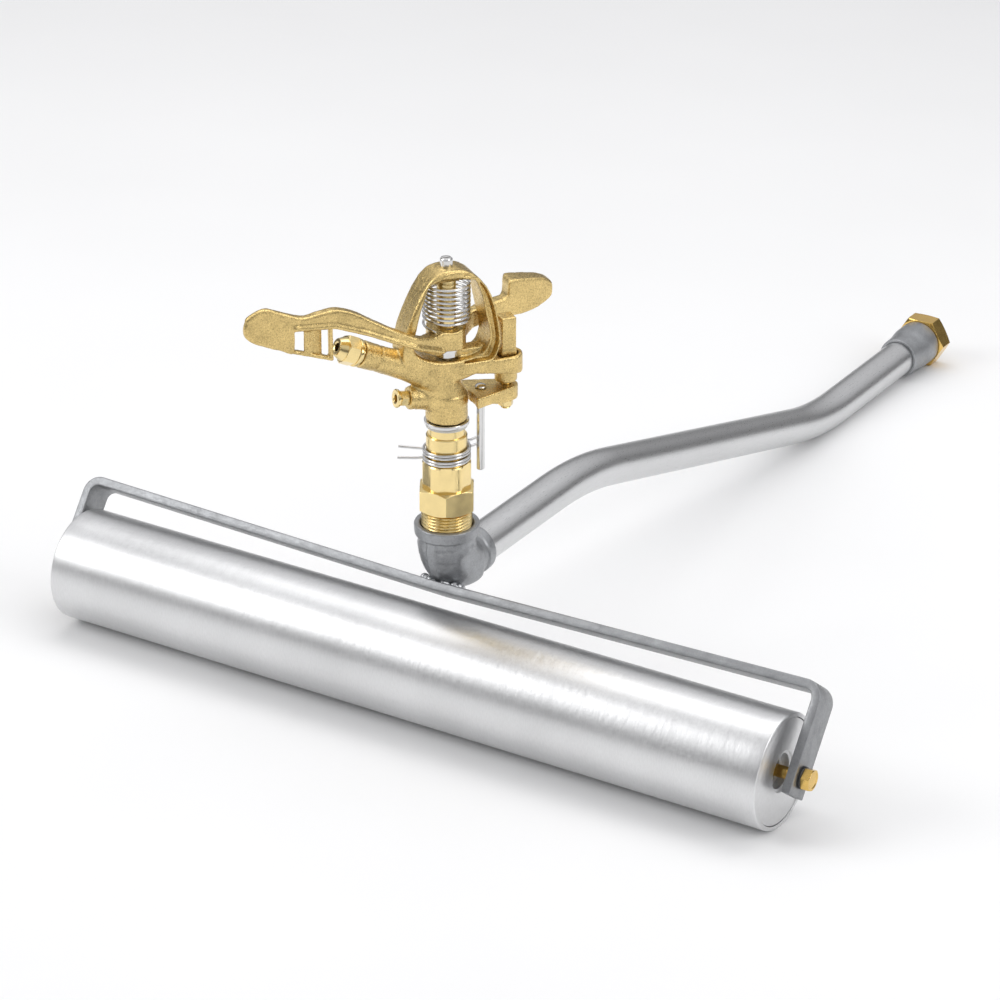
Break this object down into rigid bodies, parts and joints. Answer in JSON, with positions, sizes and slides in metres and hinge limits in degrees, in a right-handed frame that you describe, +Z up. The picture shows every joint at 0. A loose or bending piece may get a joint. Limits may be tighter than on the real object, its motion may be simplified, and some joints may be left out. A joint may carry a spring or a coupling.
{
  "type": "roller-base impact sprinkler",
  "caption": "Part-circle impact sprinkler on a steel roller in a flat-bar yoke, with a cranked drag pipe that ends in a hexagon hose inlet.",
  "frame": {"origin": "on the ground, under the middle of the object's outer box", "axes": "+Z up, X along the roller's axle, +Y from the roller towards the hose inlet"},
  "size_m": [0.579, 0.8434, 0.3098],
  "materials": {
    "roller_steel": "bright zinc-plated steel, brushed round the cylinder",
    "yoke_grey": "satin grey zinc-rich coating on flat bar",
    "cast_fitting": "grey zinc-sprayed malleable iron",
    "weld_metal": "bright rippled weld metal",
    "pipe_zinc": "smooth zinc-plated steel tube",
    "brass_cast": "matte sand-cast brass",
    "brass_bright": "machined bright brass",
    "brass_bolt": "machined brass with a warm tint",
    "stainless": "bright stainless wire and turned steel",
    "dark_steel": "darkened steel",
    "rubber": "black rubber",
    "polymer": "natural white bearing plastic"
  },
  "bodies": {
    "frame": {"yoke": "yoke_grey", "weld_bead": "weld_metal", "elbow": "cast_fitting", "drag_pipe": "pipe_zinc", "end_socket": "cast_fitting", "hose_inlet_bush": "brass_bolt", "hose_seal": "rubber", "axle_bolt_left": "brass_bolt", "axle_bolt_right": "brass_bolt", "axle_washer_left": "dark_steel", "axle_washer_right": "dark_steel", "bearing_nipple": "brass_bright", "bearing_seal": "rubber"},
    "roller": {"roller_shell": "roller_steel", "roller_end_disc_left": "roller_steel", "roller_end_disc_right": "roller_steel", "hub_bush_left": "polymer", "hub_bush_right": "polymer"},
    "stop_lower": {"stop_ring_lower": "stainless"},
    "stop_upper": {"stop_ring_upper": "stainless"},
    "head": {"head_body": "brass_cast", "main_nozzle": "brass_bright", "stream_straightener": "polymer", "spreader_nozzle": "brass_bright", "bearing_tube": "brass_bright", "bearing_washer": "polymer", "dust_washer": "stainless", "bearing_spring": "stainless", "fulcrum_pin": "stainless", "arm_washer": "stainless", "pin_sleeve": "brass_bright", "hammer_spring": "stainless"},
    "arm": {"hammer_arm": "brass_cast", "arm_bush": "polymer"},
    "trip": {"trip_lever": "brass_cast", "trip_pin": "stainless", "pivot_bolt": "brass_bright", "pivot_washer": "brass_bright", "reverse_dog": "brass_cast"}
  },
  "joints": [
    {"name": "roller_spin", "type": "hinge", "parent": "frame", "child": "roller", "pos_m": [0, -0.33699, 0.03829], "axis": [1, 0, 0], "continuous": true},
    {"name": "head_turn", "type": "hinge", "parent": "frame", "child": "head", "pos_m": [0, -0.3056, 0.20151], "axis": [0, -0.037, 0.9993], "range_deg": [-195, 9]},
    {"name": "arm_swing", "type": "hinge", "parent": "head", "child": "arm", "pos_m": [0, -0.30764, 0.25648], "axis": [0, -0.037, 0.9993], "range_deg": [0, 100], "stiffness_Nm_per_rad": 0.05, "springref_deg": -28.65},
    {"name": "trip_swing", "type": "hinge", "parent": "head", "child": "trip", "pos_m": [0.02352, -0.27245, 0.21375], "axis": [0, -0.037, 0.9993], "range_deg": [-12, 12]},
    {"name": "stop_lower_turn", "type": "hinge", "parent": "frame", "child": "stop_lower", "pos_m": [0, -0.30457, 0.17353], "axis": [0, -0.037, 0.9993], "range_deg": [-11, 190]},
    {"name": "stop_upper_turn", "type": "hinge", "parent": "frame", "child": "stop_upper", "pos_m": [0, -0.30486, 0.18153], "axis": [0, -0.037, 0.9993], "range_deg": [-11, 190]}
  ]
}
